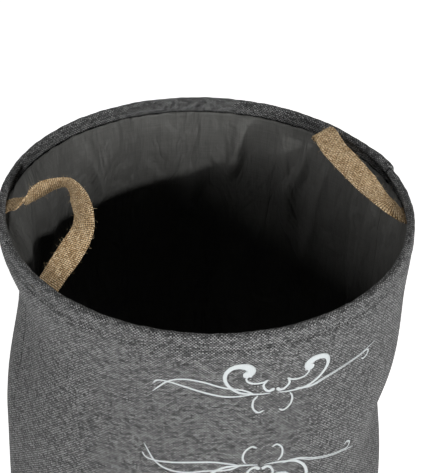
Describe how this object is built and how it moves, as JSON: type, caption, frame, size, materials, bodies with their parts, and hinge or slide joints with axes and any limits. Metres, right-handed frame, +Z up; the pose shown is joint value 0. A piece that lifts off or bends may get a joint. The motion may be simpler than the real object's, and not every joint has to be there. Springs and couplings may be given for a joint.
{
  "type": "laundry hamper",
  "caption": "Round open-topped fabric laundry hamper: a wire hoop sewn into its rim lets it collapse flat, and two webbing loop handles stand inside the mouth.",
  "frame": {"origin": "centre of the round base, on the floor", "axes": "+Z up; -Y is the printed front; the two handles are at +X and -X, over the side seams"},
  "size_m": [0.381, 0.381, 0.527],
  "materials": {
    "base_cloth": "heavy plain weave",
    "stiffener": "smooth sheet",
    "lining": "smooth coated cloth",
    "binding": "binding tape",
    "thread": "sewing thread",
    "outer_cloth": "heathered linen-look weave",
    "hoop_wire": "bright drawn wire",
    "ferrule": "crimped",
    "webbing": "coarse jute webbing"
  },
  "bodies": {
    "base": {"base_outer": "base_cloth", "base_board": "stiffener", "base_lining": "lining", "base_binding": "binding", "base_stitching": "thread", "outer_wall_front": "outer_cloth", "outer_wall_back": "outer_cloth", "side_seam_left": "outer_cloth", "side_seam_right": "outer_cloth", "lining_front": "lining", "lining_back": "lining"},
    "rim": {"rim_hoop": "hoop_wire", "rim_hoop_ferrule": "ferrule", "rim_casing_front": "outer_cloth", "rim_casing_back": "outer_cloth", "rim_stitching": "thread", "strap_tabs_left": "webbing", "strap_tabs_right": "webbing"},
    "handle_left": {"handle_left": "webbing"},
    "handle_right": {"handle_right": "webbing"}
  },
  "joints": [
    {"name": "collapse", "type": "slide", "parent": "base", "child": "rim", "axis": [0, 0, -1], "range_m": [0, 0.38], "deforming": ["outer_wall_front", "outer_wall_back", "side_seam_left", "side_seam_right", "lining_front", "lining_back"]},
    {"name": "left_handle_swing", "type": "hinge", "parent": "rim", "child": "handle_left", "pos_m": [-0.1616, 0, 0.488], "axis": [0, -1, 0], "range_deg": [-95, 68]},
    {"name": "right_handle_swing", "type": "hinge", "parent": "rim", "child": "handle_right", "pos_m": [0.1616, 0, 0.488], "axis": [0, 1, 0], "range_deg": [-110, 85]}
  ]
}
